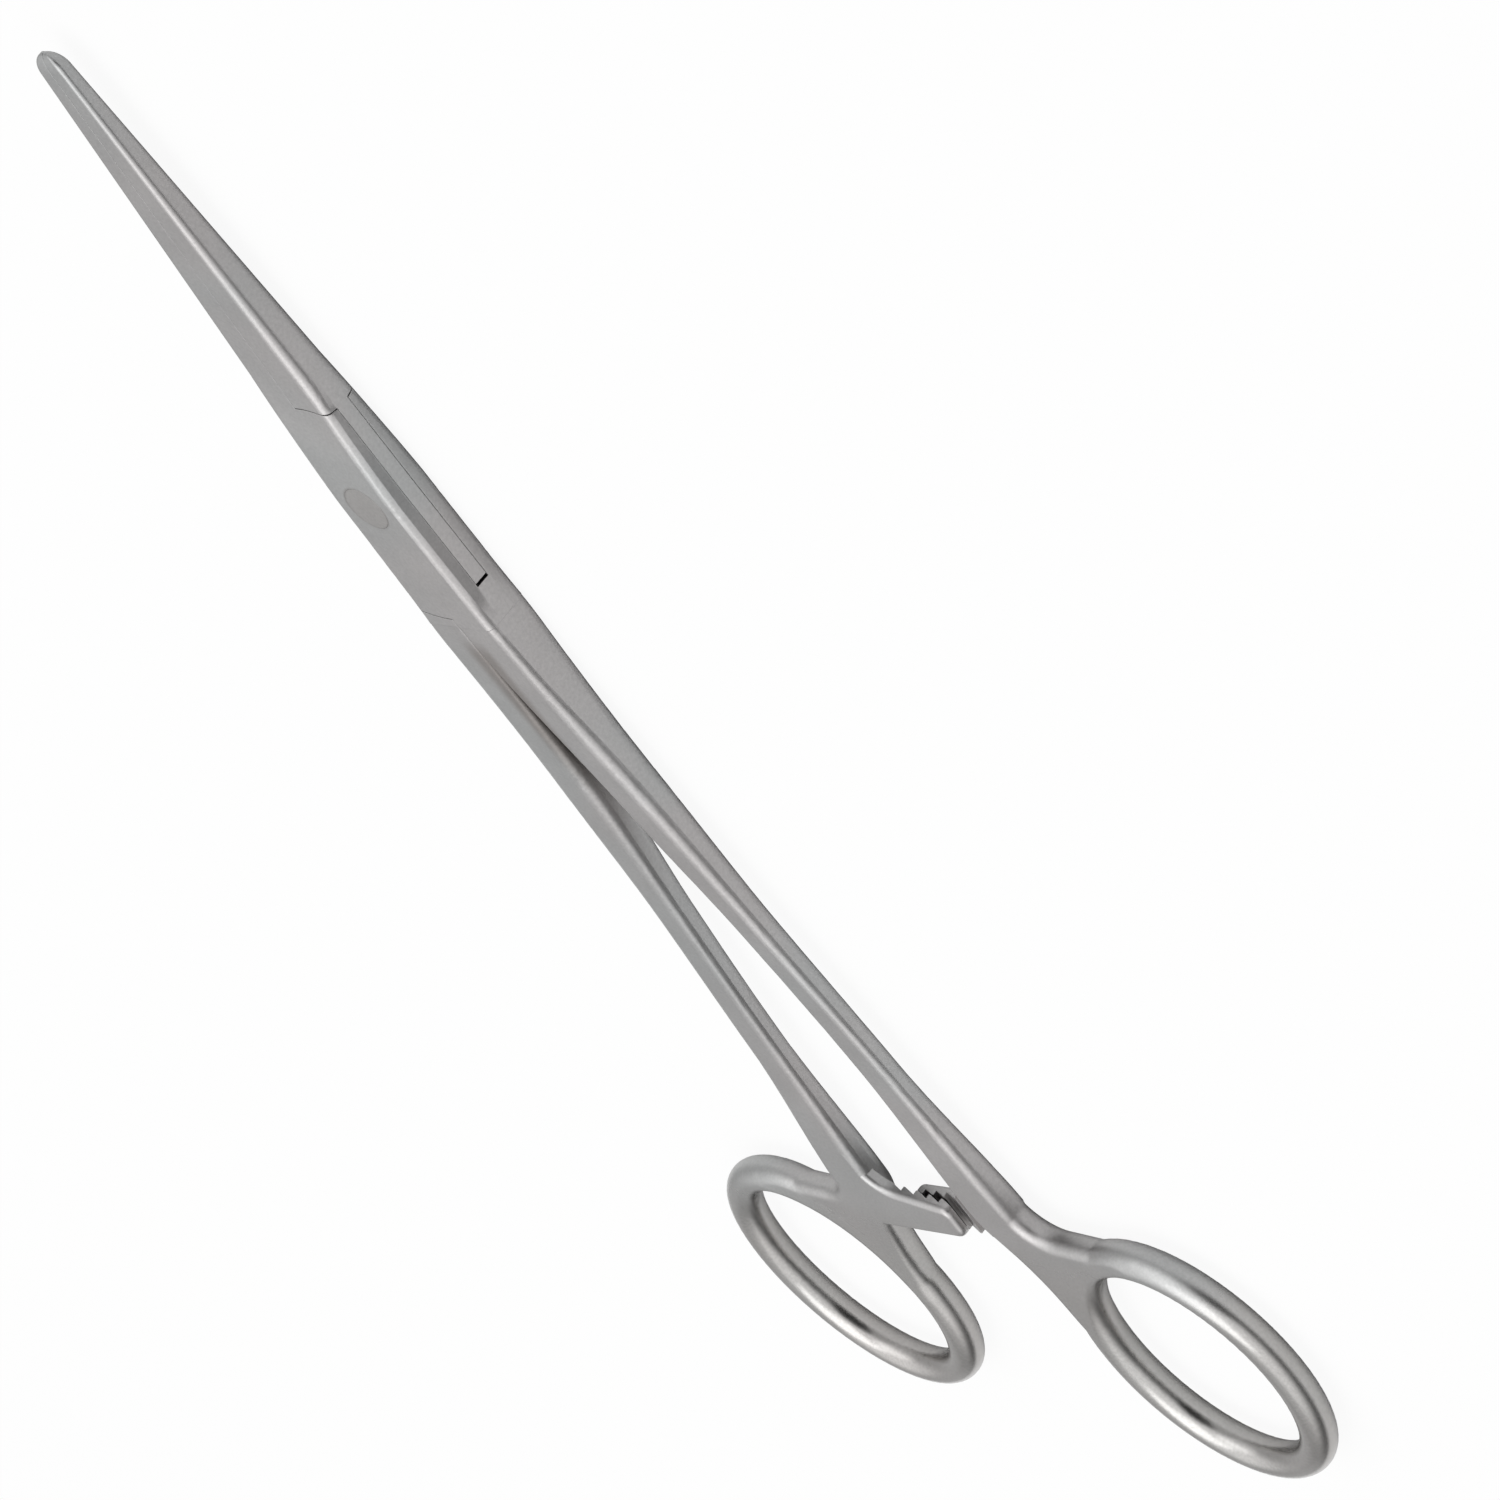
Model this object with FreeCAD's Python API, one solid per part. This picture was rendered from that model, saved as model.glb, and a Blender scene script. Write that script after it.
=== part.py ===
import FreeCAD, Part
import math
import os

Vector = FreeCAD.Vector

# Straight bowel clamp, 200 mm long, closed, lying flat. Millimetres.
# The origin is on the hinge axis, level with the underside of the box lock.
# +Y runs to the jaw tips, +X to the ring of the box half, +Z up.
# "Back" is a distance behind the hinge axis, "reach" a distance ahead of it.

# Reach from the hinge axis
jaw_reach = 57.0
ring_centre_back = 125.1

# Box lock: both halves cross here, and it is the thickest place
box_thickness = 5.45
box_width = 10.1
box_rear_width = 10.95
box_edge_radius = 0.9
box_front_radius = 13.0
box_rear_radius = 15.3
box_slope_reach = 7.4
box_slope_thickness = 4.88
grinding_allowance = 0.02

# Cheeks: above and below the tongue their sides lean inward
cheek_lean = 0.3
cheek_lean_reach = 10.0
cheek_lean_back = 12.0
cheek_ledge = 0.15

# Tongue in its slot
tongue_thickness = 1.6
tongue_front_radius = 10.6
tongue_rear_radius = 12.9
slot_side_clearance = 0.05
slot_end_clearance = 0.35
shoulder_clearance = 0.12
parting_gap = 0.04
plug_width = 3.0

# Hinge pin, a countersunk rivet ground flush
pin_diameter = 3.6
pin_head_diameter = 5.4
pin_head_depth = 1.0
pin_running_clearance = 0.03

# Jaws: a short flare ahead of the box, then a straight taper and a rounded nose
jaw_throat_width = 9.7
jaw_throat_thickness = 4.3
flare_length = 4.0
jaw_root_width = 9.25
jaw_root_thickness = 3.96
jaw_tip_width = 4.1
jaw_tip_thickness = 1.55
jaw_edge_share = 0.3
jaw_side_share = 0.15
jaw_nose_length = 2.2
nose_sections = 5
nose_turn = 80.0
serration_pitch = 0.6
serration_depth = 0.2
serration_rows = 2
serration_start = 1.5

# Shanks: how far back each station lies, and the gap, width and thickness there
shank_root_back = 16.5
crotch_back = 18.5
upper_shank_back = 41.9
middle_shank_back = 62.8
lower_shank_back = 83.7
neck_back = 104.7
ring_root_back = 113.0
upper_shank_gap = 3.4
middle_shank_gap = 9.5
lower_shank_gap = 13.7
neck_gap = 15.6
ring_root_gap = 22.4
crotch_width = 5.65
upper_shank_width = 5.6
middle_shank_width = 4.35
lower_shank_width = 4.75
neck_width = 6.85
ring_root_width = 6.6
crotch_thickness = 5.3
upper_shank_thickness = 3.9
middle_shank_thickness = 2.75
lower_shank_thickness = 2.4
neck_thickness = 3.5
ring_root_thickness = 3.7
shank_edge_share = 0.34
shank_end_share = 0.46
root_step = 0.03
section_spacing = 4.0

# Finger rings: an oval loop of round wire, its long axis leaning
ring_centre_side = 28.45
ring_half_length = 16.2
ring_half_width = 13.9
ring_lean = 8.0
ring_wire = 4.05
ring_inset = 0.2

# Neck: ground flat above and below, and the flats run out slantwise on the ring
neck_flat_thickness = 3.2
flat_angle = 44.0
flat_start = 66.0
flat_end = 90.5
flat_runout = 7.0
flat_runout_rise = 0.45
web_edge_radius = 1.2
web_fillet_radius = 4.2
web_side_slope = 0.21
web_side_inset = 0.03
web_overlap = 4.0
web_top_back = 107.9
web_ring_cover = 1.2
web_start = 92.0
web_end = 165.0

# Ratchet
ratchet_overlap = 7.0
ratchet_bar_root_width = 6.8
ratchet_bar_end_width = 4.4
ratchet_bar_corner = 1.2
ratchet_bar_fillet = 4.0
ratchet_bar_edge = 0.7
ratchet_front_back = 104.6
ratchet_gap = 0.12
tooth_pitch = 1.9
tooth_height = 0.55
tooth_land = 0.25
tooth_count = 5

mid_plane = box_thickness / 2
half_gap = parting_gap / 2
jaw_root_reach = box_front_radius + flare_length
taper_end_reach = jaw_reach - jaw_nose_length
beyond = 1.0
near = 0.001


def smooth_between(stations, back):
    """Sizes at a distance behind the pin, on smooth curves through the stations that never overshoot."""
    index = max(i for i in range(len(stations) - 1) if stations[i][0] <= back or i == 0)
    start, end = stations[index], stations[index + 1]
    span = end[0] - start[0]
    share = (back - start[0]) / span
    sizes = []
    for column in range(1, len(start)):
        rise = (end[column] - start[column]) / span
        before, after = rise, rise
        if index > 0:
            last = stations[index - 1]
            before = (start[column] - last[column]) / (start[0] - last[0])
        if index + 2 < len(stations):
            following = stations[index + 2]
            after = (following[column] - end[column]) / (following[0] - end[0])
        leave, arrive = gentle_slope(before, rise), gentle_slope(rise, after)
        ease = share * share * (3 - 2 * share)
        value = start[column] + (end[column] - start[column]) * ease
        value += span * share * (1 - share) * ((1 - share) * leave - share * arrive)
        sizes.append(value)
    return sizes


def gentle_slope(first, second):
    """Slope through a station between two rises, level at a turning point."""
    if first * second <= 0:
        return 0.0
    return 2 * first * second / (first + second)


def even_steps(start, end):
    """Evenly spaced distances from start to end, about one section spacing apart."""
    count = max(3, round((end - start) / section_spacing))
    return [start + (end - start) * step / count for step in range(count + 1)]


def rounded_section(back, inner, outer, thickness, inner_radius, outer_radius):
    """Closed profile across a limb at a distance behind the pin, its corners rounded."""
    top = mid_plane + thickness / 2
    bottom = mid_plane - thickness / 2
    corners = (
        (inner, bottom, inner_radius, 1, 1),
        (outer, bottom, outer_radius, -1, 1),
        (outer, top, outer_radius, -1, -1),
        (inner, top, inner_radius, 1, -1),
    )
    arcs = []
    for x, z, radius, side, up in corners:
        along = Vector(x + side * radius, -back, z)
        rise = Vector(x, -back, z + up * radius)
        bulge = radius * (1 - math.sqrt(0.5))
        middle = Vector(x + side * bulge, -back, z + up * bulge)
        first, last = (rise, along) if side * up > 0 else (along, rise)
        arcs.append((first, middle, last))
    return ring_of(arcs)


def ring_of(arcs):
    """Closed wire of arcs joined by straight lines."""
    edges = []
    for index, (first, middle, last) in enumerate(arcs):
        following = arcs[(index + 1) % len(arcs)][0]
        edges.append(Part.Arc(first, middle, last).toShape())
        edges.append(Part.makeLine(last, following))
    return Part.Wire(edges)


def body_section(back, width, lean, thickness, radius, side_height):
    """Closed profile across box or jaws: upright sides in the middle, leaning in above and below."""
    facet_height = thickness / 2 - side_height / 2
    tilt = math.atan2(lean, facet_height)
    reach = radius / math.tan((math.pi / 2 + tilt) / 2)
    corner = Vector(width / 2 - lean, 0, thickness / 2)
    on_facet = corner + Vector(math.sin(tilt), 0, -math.cos(tilt)) * reach
    on_top = corner - Vector(reach, 0, 0)
    centre = on_top - Vector(0, 0, radius)
    bulge = centre + (corner - centre).normalize() * radius
    waist = Vector(width / 2, 0, side_height / 2)
    quarter = (waist, on_facet, bulge, on_top)

    def place(point, side, up):
        return Vector(side * point.x, -back, mid_plane + up * point.z)

    edges = []
    start = place(waist, 1, -1)
    for side, up in ((1, 1), (-1, 1), (-1, -1), (1, -1)):
        walk = [place(point, side, up) for point in quarter]
        if side * up < 0:
            walk.reverse()
            first, bulge_point, last, end = walk
            edges.append(Part.makeLine(start, first))
            edges.append(Part.Arc(first, bulge_point, last).toShape())
            edges.append(Part.makeLine(last, end))
            start = end
        else:
            first, second, bulge_point, last = walk
            edges.append(Part.makeLine(start, first))
            edges.append(Part.makeLine(first, second))
            edges.append(Part.Arc(second, bulge_point, last).toShape())
            start = last
    return Part.Wire(edges)


def prism(wire_points, low, high):
    """Upright prism over a closed outline of straight edges."""
    points = [Vector(x, y, low) for x, y in wire_points]
    face = Part.Face(Part.makePolygon(points + points[:1]))
    return face.extrude(Vector(0, 0, high - low))


def disc(radius, low, high):
    """Upright disc round the hinge axis."""
    return Part.makeCylinder(radius, high - low, Vector(0, 0, low))


def turned_over(shape):
    """The same form turned half round about the long middle line."""
    copy = shape.copy()
    copy.rotate(Vector(0, 0, mid_plane), Vector(0, 1, 0), 180)
    return copy


def ring_point(angle, offset=0.0):
    """Point on the ring's centre line, or offset outward from it, seen from above."""
    lean = math.radians(-ring_lean)
    across = (ring_half_width + offset) * math.cos(angle)
    along = (ring_half_length + offset) * math.sin(angle)
    x = ring_centre_side + across * math.cos(lean) - along * math.sin(lean)
    y = -ring_centre_back + across * math.sin(lean) + along * math.cos(lean)
    return Vector(x, y, mid_plane)


def finger_ring():
    """Oval ring of round wire."""
    centre = Vector(ring_centre_side, -ring_centre_back, mid_plane)
    ellipse = Part.Ellipse(ring_point(math.pi / 2), ring_point(math.pi), centre)
    spine = Part.Wire([ellipse.toShape()])
    start = ellipse.value(0)
    profile = Part.Circle(start, ellipse.tangent(0)[0], ring_wire / 2).toShape()
    return spine.makePipeShell([Part.Wire([profile])], True, True)


def ring_side(back):
    """Where the ring's centre line crosses a distance behind the pin, on the side of the shank."""
    lean = math.radians(-ring_lean)
    reach = math.hypot(ring_half_width * math.sin(lean), ring_half_length * math.cos(lean))
    phase = math.atan2(ring_half_width * math.sin(lean), ring_half_length * math.cos(lean))
    angle = math.pi - math.asin((ring_centre_back - back) / reach) - phase
    return ring_point(angle).x


def body_sizes(back):
    """Width, lean, thickness, edge radius and side height of box and flare at one place."""
    front, throat = -jaw_root_reach, -box_front_radius
    full = box_thickness + grinding_allowance
    band = tongue_thickness + 2 * (slot_side_clearance + cheek_ledge)
    widths = (
        (front, jaw_root_width),
        (throat, jaw_throat_width),
        (0, box_width),
        (shank_root_back, box_rear_width),
    )
    leans = (
        (front, 0),
        (-cheek_lean_reach, cheek_lean),
        (cheek_lean_back, cheek_lean),
        (shank_root_back, 0),
    )
    thicknesses = (
        (front, jaw_root_thickness),
        (throat, jaw_throat_thickness),
        (-box_slope_reach, box_slope_thickness),
        (0, full),
        (shank_root_back, full),
    )
    edges = (
        (front, jaw_edge_share * jaw_root_thickness, jaw_side_share * jaw_root_thickness),
        (-cheek_lean_reach, box_edge_radius, band),
        (shank_root_back, box_edge_radius, band),
    )
    return [smooth_between(table, back)[0] for table in (widths, leans, thicknesses)] + smooth_between(edges, back)


def jaw_section(reach, scale):
    """Profile across both jaws at a reach ahead of the pin, shrunk by a scale."""
    share = min((reach - jaw_root_reach) / (taper_end_reach - jaw_root_reach), 1)
    width = jaw_root_width + (jaw_tip_width - jaw_root_width) * share
    thickness = jaw_root_thickness + (jaw_tip_thickness - jaw_root_thickness) * share
    sizes = (width, 0, thickness, jaw_edge_share * thickness, jaw_side_share * thickness)
    return body_section(-reach, *[size * scale for size in sizes])


def whole_body():
    """Box and jaws as one closed bar, before the two halves are parted."""
    core = Part.makeLoft(
        [body_section(back, *body_sizes(back)) for back in even_steps(-jaw_root_reach, shank_root_back)], True, False
    )
    taper = Part.makeLoft([jaw_section(jaw_root_reach, 1), jaw_section(taper_end_reach, 1)], True, True)
    nose = [jaw_section(taper_end_reach, 1)]
    for step in range(1, nose_sections + 1):
        turn = math.radians(nose_turn) * step / nose_sections
        nose.append(jaw_section(taper_end_reach + jaw_nose_length * math.sin(turn), math.cos(turn)))
    solid = core.fuse([taper, Part.makeLoft(nose, True, False)])
    span = 2 * jaw_reach
    return solid.common(Part.makeBox(span, 2 * span, box_thickness, Vector(-span / 2, -span, 0)))


def serration(row):
    """Groove along the meeting face of the right jaw, narrowing with it towards the tip."""
    triangles = []
    narrowing = jaw_tip_thickness / jaw_root_thickness
    for reach, scale in ((box_front_radius + serration_start, 1), (taper_end_reach, narrowing)):
        height = mid_plane + row * serration_pitch * scale
        half = serration_depth * scale
        open_side = half_gap - half
        points = [
            Vector(open_side, reach, height - 2 * half),
            Vector(half_gap + half, reach, height),
            Vector(open_side, reach, height + 2 * half),
        ]
        triangles.append(Part.makePolygon(points + points[:1]))
    return Part.makeLoft(triangles, True, True)


def right_jaw(body):
    """The right jaw ahead of the hinge, grooved on its meeting face."""
    room = Part.makeBox(box_width, 2 * jaw_reach, 2 * box_thickness, Vector(half_gap, 0, -box_thickness / 2))
    solid = body.common(room)
    return solid.cut([serration(row) for row in range(-serration_rows, serration_rows + 1)])


def limb():
    """Right shank from the box back to where it runs into the ring."""
    root_width, _, _, root_edge, _ = body_sizes(shank_root_back)
    merge = ring_point(math.pi)
    wire = ring_wire - 2 * ring_inset
    blend_back = (ring_root_back - merge.y) / 2
    blend_thickness = (ring_root_thickness + ring_wire) / 2
    edge = shank_edge_share
    root_share = root_edge / box_thickness
    stations = (
        (shank_root_back, half_gap, root_width / 2 - half_gap - root_step, box_thickness - 2 * root_step, root_share),
        (crotch_back, half_gap, crotch_width, crotch_thickness, root_share),
        (upper_shank_back, upper_shank_gap / 2, upper_shank_width, upper_shank_thickness, edge),
        (middle_shank_back, middle_shank_gap / 2, middle_shank_width, middle_shank_thickness, edge),
        (lower_shank_back, lower_shank_gap / 2, lower_shank_width, lower_shank_thickness, edge),
        (neck_back, neck_gap / 2, neck_width, neck_thickness, edge),
        (ring_root_back, ring_root_gap / 2, ring_root_width, ring_root_thickness, edge),
        (blend_back, ring_side(blend_back) - wire, wire, blend_thickness, edge),
        (-merge.y, merge.x - wire / 2, wire, wire, shank_end_share),
    )

    def section(back):
        inner, width, thickness, share = smooth_between(stations, back)
        opening = min((back - shank_root_back) / (upper_shank_back - shank_root_back), 1)
        inner_radius = half_gap + (share * thickness - half_gap) * opening
        return rounded_section(back, inner, inner + width, thickness, inner_radius, share * thickness)

    shank = Part.makeLoft([section(back) for back in even_steps(shank_root_back, neck_back)], True, False)
    neck = Part.makeLoft([section(back) for back in even_steps(neck_back, -merge.y)], True, False)
    return shank.fuse(neck)


def neck_flat():
    """Room above the neck: level over the neck, then an arc that rises clear of the ring."""
    turn = math.radians(flat_angle)
    along = Vector(math.cos(turn), -math.sin(turn), 0)
    across = Vector(math.sin(turn), math.cos(turn), 0)
    radius = (flat_runout**2 + flat_runout_rise**2) / (2 * flat_runout_rise)
    half_turn = math.asin(flat_runout / radius) / 2
    level = mid_plane + neck_flat_thickness / 2
    above = mid_plane + ring_wire
    outline = (
        (flat_end + flat_runout, level + flat_runout_rise),
        (flat_end + flat_runout, above),
        (flat_start, above),
        (flat_start, level),
        (flat_end, level),
        (flat_end + radius * math.sin(half_turn), level + radius * (1 - math.cos(half_turn))),
    )
    start = across * -ring_centre_back
    corners = [start + along * reach + Vector(0, 0, height) for reach, height in outline]
    edges = [Part.makeLine(first, second) for first, second in zip(corners[:4], corners[1:5])]
    edges.append(Part.Arc(corners[4], corners[5], corners[0]).toShape())
    return Part.Face(Part.Wire(edges)).extrude(across * ring_centre_back)


def web():
    """Flat web in the corner between the shank and the top of the ring."""
    low = mid_plane - neck_flat_thickness / 2
    high = mid_plane + neck_flat_thickness / 2
    neck_side = neck_gap / 2 + neck_width - web_side_inset
    upper = (neck_side - web_overlap * web_side_slope, web_overlap - neck_back)
    corner = (neck_side + (web_top_back - neck_back) * web_side_slope, -web_top_back)
    on_ring = ring_point(math.radians(web_start), web_ring_cover)
    share = (web_end - web_start) / 3
    along_ring = [ring_point(math.radians(web_start + step * share)) for step in range(4)]
    outline = [upper, corner, (on_ring.x, on_ring.y)]
    outline += [(point.x, point.y) for point in along_ring]
    outline += [(ring_root_gap / 2 + ring_root_width / 3, -ring_root_back), (neck_side - neck_width / 2, upper[1])]
    solid = prism(outline, low, high)
    upright = [edge for edge in solid.Edges if upright_at(edge, corner)]
    solid = solid.makeFillet(web_fillet_radius, upright)
    rims = [edge for edge in solid.Edges if not is_upright(edge) and faces_corner(edge, upper, corner)]
    return solid.makeFillet(web_edge_radius, rims)


def is_upright(edge):
    """True for an edge that runs straight up."""
    first, last = edge.Vertexes[0].Point, edge.Vertexes[-1].Point
    return math.hypot(first.x - last.x, first.y - last.y) < near


def upright_at(edge, place):
    """True for an upright edge at a place seen from above."""
    point = edge.Vertexes[0].Point
    return is_upright(edge) and math.hypot(point.x - place[0], point.y - place[1]) < near


def faces_corner(edge, upper, corner):
    """True for the edges of the web that show between the shank and the ring."""
    middle = edge.valueAt((edge.FirstParameter + edge.LastParameter) / 2)
    return middle.x > upper[0] - near and middle.y > corner[1] - web_ring_cover


def ratchet_bar():
    """Lower ratchet bar, on the right limb, its teeth upward and their steep sides toward the limb."""
    end = -ratchet_overlap / 2
    front = -ratchet_front_back
    edge_side = neck_gap / 2
    inside = edge_side + neck_width / 2
    narrowing = (ratchet_bar_root_width - ratchet_bar_end_width) / 2
    low = mid_plane - neck_flat_thickness / 2
    high = mid_plane - ratchet_gap / 2
    end_front = (end, front - narrowing)
    end_rear = (end, end_front[1] - ratchet_bar_end_width)
    root_front = (edge_side + ratchet_bar_edge / 2, front)
    root_rear = (edge_side + narrowing * 2, front - ratchet_bar_root_width)
    outline = [
        (inside, front + ratchet_bar_fillet + beyond),
        (root_front[0], front + ratchet_bar_fillet + beyond),
        root_front,
        end_front,
        end_rear,
        root_rear,
        (inside + narrowing * 2, root_rear[1]),
    ]
    solid = prism(outline, low, high)
    corners = [edge for edge in solid.Edges if upright_at(edge, end_front) or upright_at(edge, end_rear)]
    solid = solid.makeFillet(ratchet_bar_corner, corners)
    fillet = [edge for edge in solid.Edges if upright_at(edge, root_front)]
    solid = solid.makeFillet(ratchet_bar_fillet, fillet)
    rims = [edge for edge in solid.Edges if edge.BoundBox.ZMax < low + near]
    solid = solid.makeFillet(ratchet_bar_edge, rims)
    return solid.cut([tooth_space(end + index * tooth_pitch, high) for index in range(tooth_count)])


def tooth_space(start, crest):
    """Wedge taken out in front of one tooth: a slope up to the crest, then a steep drop."""
    above = crest + tooth_height
    points = [
        Vector(start - near, 0, above),
        Vector(start - near, 0, crest - tooth_height),
        Vector(start + tooth_pitch - tooth_land, 0, crest),
        Vector(start + tooth_pitch - tooth_land, 0, above),
    ]
    face = Part.Face(Part.makePolygon(points + points[:1]))
    space = face.extrude(Vector(0, -3 * ratchet_bar_root_width, 0))
    space.translate(Vector(0, ratchet_bar_root_width - ratchet_front_back, 0))
    return space


def handle_side():
    """Right shank with its ring, neck, web and lower ratchet bar."""
    flat = neck_flat()
    bare = limb().fuse(finger_ring())
    other_flat = flat.mirror(Vector(0, 0, mid_plane), Vector(0, 0, 1))
    return bare.cut([flat, other_flat]).fuse([web(), ratchet_bar()])


def half_disc(radius, front):
    """Upright half disc ahead of or behind the hinge axis, through the whole box."""
    solid = disc(radius, -beyond, box_thickness + beyond)
    reach = radius + beyond
    corner = Vector(-reach, 0 if front else -reach, -beyond)
    return solid.common(Part.makeBox(2 * reach, reach, box_thickness + 2 * beyond, corner))


def quarter_room(side, front, reach):
    """Room on one side of the parting plane, ahead of or behind the hinge axis, full height."""
    start = half_gap if side > 0 else -half_gap - reach
    corner = Vector(start, 0 if front else -reach, -beyond)
    return Part.makeBox(reach, reach, box_thickness + 2 * beyond, corner)


def layer(solid, half_height):
    """The part of a solid within a height of the middle plane."""
    reach = 4 * jaw_reach
    corner = Vector(-reach / 2, -reach / 2, mid_plane - half_height)
    return solid.common(Part.makeBox(reach, reach, 2 * half_height, corner))


def tongue_room(growth, side_gap, ahead_reach, behind_reach):
    """Seen from above: the room that the tongue takes, full height, grown at its rounded ends."""
    wide = 2 * box_width
    height = box_thickness + 2 * beyond
    ahead = Part.makeBox(wide + side_gap, wide, height, Vector(-side_gap, 0, -beyond))
    behind = Part.makeBox(wide + side_gap, wide, height, Vector(-wide, -wide, -beyond))
    return half_disc(tongue_front_radius + growth, True).fuse(
        [
            half_disc(tongue_rear_radius + growth, False),
            ahead.common(half_disc(ahead_reach, True)),
            behind.common(half_disc(behind_reach, False)),
        ]
    )


def pin_form():
    """Rivet: a straight shank and a cone at each face of the box."""
    shank = Part.makeCylinder(pin_diameter / 2, box_thickness)
    lower = Part.makeCone(pin_head_diameter / 2, pin_diameter / 2, pin_head_depth)
    start = Vector(0, 0, box_thickness - pin_head_depth)
    upper = Part.makeCone(pin_diameter / 2, pin_head_diameter / 2, pin_head_depth, start)
    return shank.fuse([lower, upper]).removeSplitter()


def box_half(body):
    """The half with the box: left jaw, cheeks, right shank, lower ratchet bar and right ring."""
    cheeks = body.common(
        half_disc(box_front_radius, True).fuse(
            [half_disc(box_rear_radius, False), quarter_room(1, False, 2 * box_rear_radius)]
        )
    )
    left_jaw = turned_over(right_jaw(body)).cut(half_disc(box_front_radius, True))
    slot_reach = box_rear_radius + 2 * beyond
    slot = layer(
        tongue_room(slot_end_clearance, half_gap, slot_reach, slot_reach), tongue_thickness / 2 + slot_side_clearance
    )
    plug = joining_plug(-1, box_front_radius)
    solid = cheeks.fuse([left_jaw, handle_side()]).cut([slot, pin_form()])
    return solid.fuse(plug).removeSplitter()


def joining_plug(side, radius):
    """Small block inside the metal that joins a jaw to what carries it."""
    length = 2 * (box_front_radius - tongue_front_radius - slot_end_clearance - beyond / 2)
    start = side * (plug_width / 2 + beyond) - plug_width / 2
    centre_reach = math.sqrt(radius**2 - (plug_width / 2 + beyond) ** 2)
    corner = Vector(start, centre_reach - length / 2, mid_plane - tongue_thickness / 2)
    return Part.makeBox(plug_width, length, tongue_thickness, corner)


def tongue_half(body):
    """The half with the tongue: right jaw, tongue, left shank, upper ratchet bar and left ring."""
    front = box_front_radius + shoulder_clearance
    rear = box_rear_radius + shoulder_clearance
    tongue = layer(body.common(tongue_room(0, -half_gap, front, rear)), tongue_thickness / 2)
    jaw = right_jaw(body).cut(half_disc(front, True))
    shank_root = body.common(quarter_room(-1, False, 2 * rear)).cut(half_disc(rear, False))
    solid = tongue.fuse([jaw, shank_root, joining_plug(1, front), turned_over(handle_side())])
    bore = disc(pin_diameter / 2 + pin_running_clearance, 0, box_thickness)
    return solid.cut(bore).removeSplitter()


whole = whole_body()
os.makedirs("parts", exist_ok=True)
for name, shape in (("box_half", box_half(whole)), ("tongue_half", tongue_half(whole)), ("joint_pin", whole.common(pin_form()))):
    print(name, shape.ShapeType, len(shape.Solids), shape.isValid(), round(shape.Volume, 1), shape.BoundBox)
    shape.exportStep("parts/" + name + ".step")
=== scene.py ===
import math

import bpy
from mathutils import Matrix, Vector


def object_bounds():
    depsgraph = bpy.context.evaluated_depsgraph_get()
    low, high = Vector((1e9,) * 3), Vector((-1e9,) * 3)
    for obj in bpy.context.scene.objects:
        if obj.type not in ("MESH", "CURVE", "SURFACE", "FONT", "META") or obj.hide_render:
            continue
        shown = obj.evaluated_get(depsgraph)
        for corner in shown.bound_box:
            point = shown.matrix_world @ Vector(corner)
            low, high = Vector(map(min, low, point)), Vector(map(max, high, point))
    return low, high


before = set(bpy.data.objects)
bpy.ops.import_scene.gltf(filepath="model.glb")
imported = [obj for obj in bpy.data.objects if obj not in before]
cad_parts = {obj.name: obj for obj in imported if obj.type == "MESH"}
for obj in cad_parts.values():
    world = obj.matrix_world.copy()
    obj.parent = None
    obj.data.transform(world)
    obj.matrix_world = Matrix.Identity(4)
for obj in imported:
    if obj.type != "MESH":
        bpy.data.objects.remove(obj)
cad_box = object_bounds()

# Camera: place in metres, look and roll in degrees, sensor and lens in millimetres
CAMERA_PLACE = Vector((0.48204, 0.26091, 0.22290))
LOOK_AZIMUTH = 213.02
LOOK_DOWN = 20.83
CAMERA_ROLL = -140.93
SENSOR_WIDTH = 36.0
LENS_LENGTH = 145.16
SHIFT_RIGHT = 0.0608
SHIFT_UP = 0.0769
CLIP_START = 0.01
CLIP_END = 50.0

# Floor: size in metres, and the share of plain white that the camera sees
FLOOR_HALF_SIZE = 6.0
FLOOR_DROP = 0.0002
FLOOR_COLOUR = (0.76, 0.76, 0.76, 1.0)
FLOOR_WHITE = (1.0, 1.0, 1.0, 1.0)
FLOOR_WHITENESS = 0.93

# Studio light, as brightness: low and high in the sky, and the dim side
SKY_LOW = 0.55
SKY_HIGH = 1.25
SKY_RISE = (0.3, 0.8)
DIM_SIDE = (0.88, -0.47, 0.0)
DIM_SIDE_EDGE = (-0.2, 0.6)
DIM_SIDE_HEIGHT = (0.15, 0.55)
DIM_SIDE_LOSS = 0.7

# Patches of the studio that the rings mirror: direction, edge and brightness
PATCHES = (
    ((0.64, 0.68, 0.37), (0.9, 0.98), 0.15),
    ((-0.28, 0.77, 0.58), (0.87, 0.98), 1.6),
    ((-0.37, -0.63, 0.69), (0.87, 0.98), 0.6),
)

# Lamp: place, aim and size in metres, power in watts
LAMP_PLACE = (0.0, -0.05, 0.9)
LAMP_AIM = (0.0, -0.05, 0.0)
LAMP_SIZE = 0.7
LAMP_POWER = 1.6

# Colours of the steel, and how much of each tint shows
STEEL_COLOUR = (0.45, 0.447, 0.452, 1.0)
WARM_STEEL = (0.472, 0.447, 0.437, 1.0)
GREENISH_STEEL = (0.437, 0.45, 0.443, 1.0)
PIN_STEEL = (0.385, 0.36, 0.352, 1.0)
RING_STEEL = (0.465, 0.447, 0.428, 1.0)
TINT_SHARE = 0.5
TINT_EDGE = (0.38, 0.62)
RING_TINT_SHARE = 0.55

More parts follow.
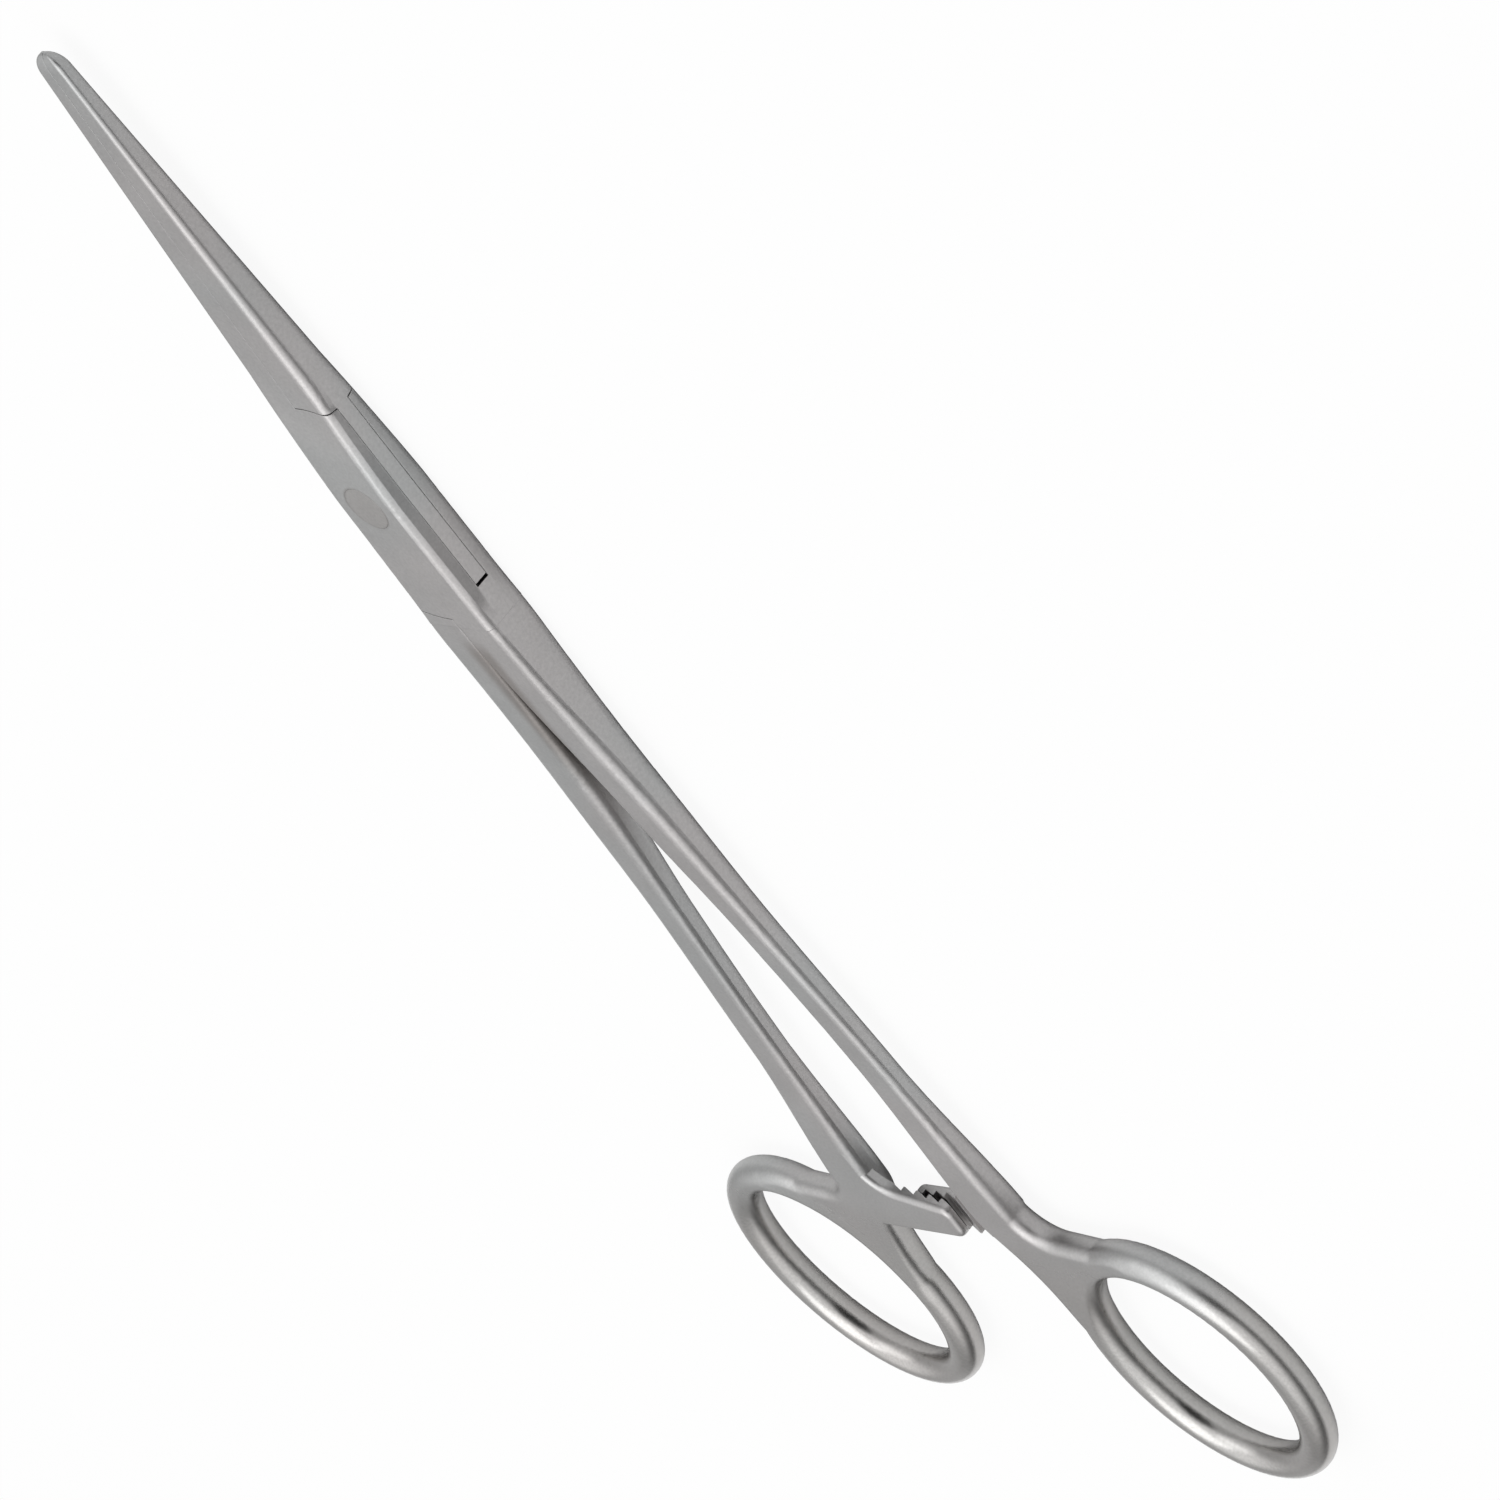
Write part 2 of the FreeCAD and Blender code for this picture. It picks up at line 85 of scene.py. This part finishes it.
# Dark line round the pin's head, broken up by the smudges
MARK_COLOUR = (0.2, 0.18, 0.165, 1.0)
MARK_SHARE = 0.42
MARK_BREAK = (0.35, 0.65)
MARK_FAINTEST = 0.3
PIN_MARK_RADIUS = 0.0027
PIN_MARK_WIDTH = 0.00028

# Painted shade in the narrow end of the fork: the crevice where the handles part is darkened in
# the colour
FORK_SHADE_COLOUR = (0.26, 0.235, 0.22, 1.0)
FORK_SHADE_SHARE = 0.75
FORK_SHADE_SIDE = (0.001, 0.0026)
FORK_SHADE_REAR = (-0.052, -0.038)
FORK_SHADE_FRONT = (-0.021, -0.0175)

# Where the rings begin, and how they differ from the satin parts
NECK_Y = -0.106
RING_Y = -0.118
RING_POLISH = 0.22
RING_BUMP_LOSS = 0.8

# Grain, streaks, smudges and patches of the surface
PATCH_SCALE = 38.0
SMUDGE_SCALE = 160.0
SMUDGE_DETAIL = 4.0
STREAK_SCALE = 900.0
STREAK_STRETCH = (1.0, 0.06, 1.0)
GRAIN_SCALE = 3000.0
GRAIN_CONTRAST = 0.65
FINE_DETAIL = 3.0
BASE_ROUGHNESS = 0.26
SMUDGE_ROUGHNESS = 0.14
STREAK_ROUGHNESS = 0.08
BUMP_STRENGTH = 0.14
BUMP_HEIGHT = 0.00004

# Brightness of the surface: what the grain and the smudges change, and the darker jaws
LEAST_SHADE = 0.8
GRAIN_SHADE = 0.38
MOTTLE_SHADE = 0.16
JAW_Y = (0.012, 0.03)
JAW_SHADE = 0.93

# Edges worn soft: everywhere a little, more at the necks and in the fork
EDGE_SOFTNESS = 0.00012
NECK_SOFTNESS = 0.0009
NECK_SIDE = (0.0095, 0.0125)
NECK_FRONT = (-0.1, -0.094)
FORK_SOFTNESS = 0.0005
FORK_SIDE = (0.0006, 0.002)
FORK_REAR = (-0.05, -0.035)
FORK_FRONT = (-0.018, -0.015)
SOFT_SAMPLES = 6

# Cheeks of the box, whose sides lean in above and below the tongue
MIDDLE_HEIGHT = 0.002725
BAND_EDGE = (0.00078, 0.00092)
SIDE_FACING = (0.7, 0.9)
BOX_REAR = (-0.0152, -0.0116)
BOX_FRONT = (0.0115, 0.0132)
LEAN_ABOVE = 0.22
LEAN_BELOW = -0.1


class Nodes:
    """Adds and joins the shader nodes of one material or of the world."""

    def __init__(self, owner):
        owner.use_nodes = True
        self.tree = owner.node_tree
        self.tree.nodes.clear()

    def add(self, kind, **settings):
        node = self.tree.nodes.new(kind)
        for name, value in settings.items():
            setattr(node, name, value)
        return node

    def join(self, source, target):
        self.tree.links.new(source, target)

    def put(self, wanted, socket):
        """Joins a socket, or sets a plain value."""
        if isinstance(wanted, bpy.types.NodeSocket):
            self.join(wanted, socket)
        else:
            socket.default_value = wanted

    def maths(self, operation, *values):
        node = self.add("ShaderNodeMath", operation=operation)
        for socket, wanted in zip(node.inputs, values):
            self.put(wanted, socket)
        return node.outputs[0]

    def vectors(self, operation, *values):
        node = self.add("ShaderNodeVectorMath", operation=operation)
        for socket, wanted in zip(node.inputs, values):
            self.put(wanted, socket)
        return node.outputs["Vector"]

    def dot(self, source, direction):
        node = self.add("ShaderNodeVectorMath", operation="DOT_PRODUCT")
        self.join(source, node.inputs[0])
        node.inputs[1].default_value = Vector(direction).normalized()
        return node.outputs["Value"]

    def parts(self, source):
        node = self.add("ShaderNodeSeparateXYZ")
        self.join(source, node.inputs[0])
        return node.outputs[0], node.outputs[1], node.outputs[2]

    def smooth_step(self, source, low, high, to_low=0.0, to_high=1.0):
        node = self.add("ShaderNodeMapRange", interpolation_type="SMOOTHSTEP")
        for socket, wanted in zip(node.inputs, (source, low, high, to_low, to_high)):
            self.put(wanted, socket)
        return node.outputs[0]

    def between(self, source, rise, fall):
        """One between two soft edges, and zero outside them."""
        risen = self.smooth_step(source, *rise)
        return self.maths("MULTIPLY", risen, self.smooth_step(source, *fall, 1.0, 0.0))

    def mix_colour(self, factor, first, second):
        node = self.add("ShaderNodeMix", data_type="RGBA")
        self.put(factor, node.inputs[0])
        self.put(first, node.inputs[6])
        self.put(second, node.inputs[7])
        return node.outputs[2]

    def noise(self, place, scale, detail=2.0, contrast=0.5, stretch=(1.0, 1.0, 1.0)):
        mapping = self.add("ShaderNodeMapping")
        self.join(place, mapping.inputs[0])
        mapping.inputs["Scale"].default_value = stretch
        node = self.add("ShaderNodeTexNoise")
        self.join(mapping.outputs[0], node.inputs["Vector"])
        node.inputs["Scale"].default_value = scale
        node.inputs["Detail"].default_value = detail
        node.inputs["Roughness"].default_value = contrast
        return node.outputs[0]

    def show(self, shader, kind="ShaderNodeOutputMaterial"):
        self.join(shader.outputs[0], self.add(kind).inputs["Surface"])


def tinted(n, place, ring, colour):
    """Colour of the steel with faint warm and greenish patches, warmer on the rings."""
    patches = n.smooth_step(n.noise(place, PATCH_SCALE), *TINT_EDGE)
    tint = n.mix_colour(patches, GREENISH_STEEL, WARM_STEEL)
    base = n.mix_colour(TINT_SHARE, colour, tint)
    return n.mix_colour(n.maths("MULTIPLY", ring, RING_TINT_SHARE), base, RING_STEEL)


def pin_mark(n, x, y, smudges):
    """Share of the dark line round the pin's head."""
    squares = n.maths("ADD", n.maths("MULTIPLY", x, x), n.maths("MULTIPLY", y, y))
    from_line = n.maths("SUBTRACT", n.maths("SQRT", squares), PIN_MARK_RADIUS)
    line = n.smooth_step(n.maths("ABSOLUTE", from_line), 0.0, PIN_MARK_WIDTH, MARK_SHARE, 0.0)
    return n.maths("MULTIPLY", line, n.smooth_step(smudges, *MARK_BREAK, MARK_FAINTEST, 1.0))


def fork_painted_shade(n, aside, y):
    """Share of the painted shade that darkens the crevice in the narrow end of the fork."""
    middle = n.smooth_step(aside, *FORK_SHADE_SIDE, FORK_SHADE_SHARE, 0.0)
    return n.maths("MULTIPLY", middle, n.between(y, FORK_SHADE_REAR, FORK_SHADE_FRONT))


def shade(n, y, grain, smudges):
    """Brightness of the surface: grain and smudges, and the jaws a little darker."""
    light = n.maths("MULTIPLY_ADD", grain, GRAIN_SHADE, LEAST_SHADE)
    mottle = n.maths("MULTIPLY_ADD", smudges, MOTTLE_SHADE, -MOTTLE_SHADE / 2)
    jaws = n.smooth_step(y, *JAW_Y, 1.0, JAW_SHADE)
    return n.maths("MULTIPLY", n.maths("ADD", light, mottle), jaws)


def softness(n, aside, y):
    """Radius of the worn edges."""
    at_neck = n.smooth_step(aside, *NECK_SIDE)
    behind = n.smooth_step(y, *NECK_FRONT, NECK_SOFTNESS - EDGE_SOFTNESS, 0.0)
    radius = n.maths("MULTIPLY_ADD", at_neck, behind, EDGE_SOFTNESS)
    fork = n.smooth_step(aside, *FORK_SIDE, FORK_SOFTNESS, 0.0)
    fork = n.maths("MULTIPLY", fork, n.between(y, FORK_REAR, FORK_FRONT))
    return n.maths("ADD", radius, fork)


def lean(n, y, z, facing):
    """How far the box's sides lean up or down, above and below the tongue."""
    above = n.maths("SUBTRACT", z, MIDDLE_HEIGHT)
    below = n.maths("MULTIPLY", above, -1.0)
    upper = n.smooth_step(above, *BAND_EDGE, 0.0, LEAN_ABOVE)
    lower = n.smooth_step(below, *BAND_EDGE, 0.0, LEAN_BELOW)
    sides = n.maths("MULTIPLY", n.maths("ADD", upper, lower), n.smooth_step(facing, *SIDE_FACING))
    return n.maths("MULTIPLY", sides, n.between(y, BOX_REAR, BOX_FRONT))


def steel(name, colour):
    """Satin stainless steel with a blasted grain and polished rings."""
    material = bpy.data.materials.new(name)
    n = Nodes(material)
    coordinates = n.add("ShaderNodeTexCoord")
    place = coordinates.outputs["Object"]
    x, y, z = n.parts(place)
    aside = n.maths("ABSOLUTE", x)
    facing = n.maths("ABSOLUTE", n.parts(coordinates.outputs["Normal"])[0])
    ring = n.smooth_step(y, RING_Y, NECK_Y, 1.0, 0.0)
    smudges = n.noise(place, SMUDGE_SCALE, detail=SMUDGE_DETAIL)
    grain = n.noise(place, GRAIN_SCALE, detail=FINE_DETAIL, contrast=GRAIN_CONTRAST)
    streaks = n.noise(place, STREAK_SCALE, detail=FINE_DETAIL, stretch=STREAK_STRETCH)

    base = tinted(n, place, ring, colour)
    base = n.mix_colour(pin_mark(n, x, y, smudges), base, MARK_COLOUR)
    # painted shade: the crevice in the narrow end of the fork is darkened in the colour
    base = n.mix_colour(fork_painted_shade(n, aside, y), base, FORK_SHADE_COLOUR)
    tone = n.add("ShaderNodeVectorMath", operation="SCALE")
    n.join(base, tone.inputs[0])
    n.join(shade(n, y, grain, smudges), tone.inputs["Scale"])

    rough = n.maths("MULTIPLY_ADD", smudges, SMUDGE_ROUGHNESS, BASE_ROUGHNESS)
    rough = n.maths("MULTIPLY_ADD", streaks, STREAK_ROUGHNESS, rough)
    rough = n.maths("SUBTRACT", rough, n.maths("MULTIPLY", ring, RING_POLISH))

    worn = n.add("ShaderNodeBevel", samples=SOFT_SAMPLES)
    n.join(softness(n, aside, y), worn.inputs["Radius"])
    upward = n.add("ShaderNodeCombineXYZ")
    n.join(lean(n, y, z, facing), upward.inputs["Z"])
    leaning = n.vectors("ADD", worn.outputs[0], upward.outputs[0])

    bump = n.add("ShaderNodeBump")
    strength = n.maths("MULTIPLY_ADD", ring, -RING_BUMP_LOSS * BUMP_STRENGTH, BUMP_STRENGTH)
    n.join(strength, bump.inputs["Strength"])
    bump.inputs["Distance"].default_value = BUMP_HEIGHT
    n.join(n.maths("ADD", grain, streaks), bump.inputs["Height"])
    n.join(n.vectors("NORMALIZE", leaning), bump.inputs["Normal"])

    shader = n.add("ShaderNodeBsdfPrincipled")
    shader.inputs["Metallic"].default_value = 1.0
    n.join(tone.outputs[0], shader.inputs["Base Color"])
    n.join(rough, shader.inputs["Roughness"])
    n.join(bump.outputs[0], shader.inputs["Normal"])
    n.show(shader)
    return material


def dress(node, material):
    """Gives one piece its material."""
    if not node.material_slots:
        node.data.materials.append(material)
    for slot in node.material_slots:
        slot.material = material


def add_camera():
    """Camera at the photograph's place, rolled as the photograph is."""
    azimuth, down = math.radians(LOOK_AZIMUTH), math.radians(LOOK_DOWN)
    level = math.cos(down)
    forward = Vector((math.cos(azimuth) * level, math.sin(azimuth) * level, -math.sin(down)))
    right = forward.cross(Vector((0, 0, 1))).normalized()
    up = right.cross(forward)
    turn = Matrix((right, up, -forward)).transposed().to_4x4()
    roll = Matrix.Rotation(math.radians(CAMERA_ROLL), 4, "Z")
    data = bpy.data.cameras.new("camera")
    data.sensor_width = SENSOR_WIDTH
    data.lens = LENS_LENGTH
    data.shift_x = SHIFT_RIGHT
    data.shift_y = SHIFT_UP
    data.clip_start = CLIP_START
    data.clip_end = CLIP_END
    camera = bpy.data.objects.new("camera", data)
    camera.matrix_world = Matrix.Translation(CAMERA_PLACE) @ turn @ roll
    bpy.context.scene.collection.objects.link(camera)
    bpy.context.scene.camera = camera


def add_floor():
    """Plain pale floor that looks white to the camera and still takes a soft shadow."""
    h = FLOOR_HALF_SIZE
    mesh = bpy.data.meshes.new("floor")
    mesh.from_pydata([(-h, -h, 0), (h, -h, 0), (h, h, 0), (-h, h, 0)], [], [(0, 1, 2, 3)])
    floor = bpy.data.objects.new("floor", mesh)
    floor.location.z = cad_box[0][2] - FLOOR_DROP
    bpy.context.scene.collection.objects.link(floor)

    material = bpy.data.materials.new("floor_white")
    n = Nodes(material)
    diffuse = n.add("ShaderNodeBsdfDiffuse")
    diffuse.inputs["Color"].default_value = FLOOR_COLOUR
    glow = n.add("ShaderNodeEmission")
    glow.inputs["Color"].default_value = FLOOR_WHITE
    seen = n.add("ShaderNodeLightPath").outputs["Is Camera Ray"]
    mix = n.add("ShaderNodeMixShader")
    n.join(n.maths("MULTIPLY", seen, FLOOR_WHITENESS), mix.inputs[0])
    n.join(diffuse.outputs[0], mix.inputs[1])
    n.join(glow.outputs[0], mix.inputs[2])
    n.show(mix)
    mesh.materials.append(material)


def add_world():
    """Pale studio: brighter overhead, dimmer low on one side, with a few patches."""
    world = bpy.data.worlds.new("studio")
    bpy.context.scene.world = world
    n = Nodes(world)
    place = n.add("ShaderNodeTexCoord").outputs["Generated"]
    height = n.parts(place)[2]
    light = n.smooth_step(height, *SKY_RISE, SKY_LOW, SKY_HIGH)
    toward = n.smooth_step(n.dot(place, DIM_SIDE), *DIM_SIDE_EDGE)
    low = n.smooth_step(height, *DIM_SIDE_HEIGHT, DIM_SIDE_LOSS, 0.0)
    kept = n.maths("SUBTRACT", 1.0, n.maths("MULTIPLY", toward, low))
    light = n.maths("MULTIPLY", light, kept)
    for direction, edge, brightness in PATCHES:
        patch = n.smooth_step(n.dot(place, direction), *edge, 1.0, brightness)
        light = n.maths("MULTIPLY", light, patch)
    back = n.add("ShaderNodeBackground")
    n.join(light, back.inputs["Color"])
    n.show(back, "ShaderNodeOutputWorld")


def add_lamp():
    """Large soft area light overhead."""
    data = bpy.data.lights.new("overhead", "AREA")
    data.shape = "SQUARE"
    data.size = LAMP_SIZE
    data.energy = LAMP_POWER
    light = bpy.data.objects.new("overhead", data)
    light.location = LAMP_PLACE
    down = Vector(LAMP_AIM) - Vector(LAMP_PLACE)
    light.rotation_euler = down.to_track_quat("-Z", "Y").to_euler()
    bpy.context.scene.collection.objects.link(light)


add_camera()
add_floor()
add_world()
add_lamp()

satin = steel("satin_steel", STEEL_COLOUR)
dress(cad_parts["box_half"], satin)
dress(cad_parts["tongue_half"], satin)
dress(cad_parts["joint_pin"], steel("pin_steel", PIN_STEEL))

bpy.context.scene.view_settings.view_transform = "Standard"
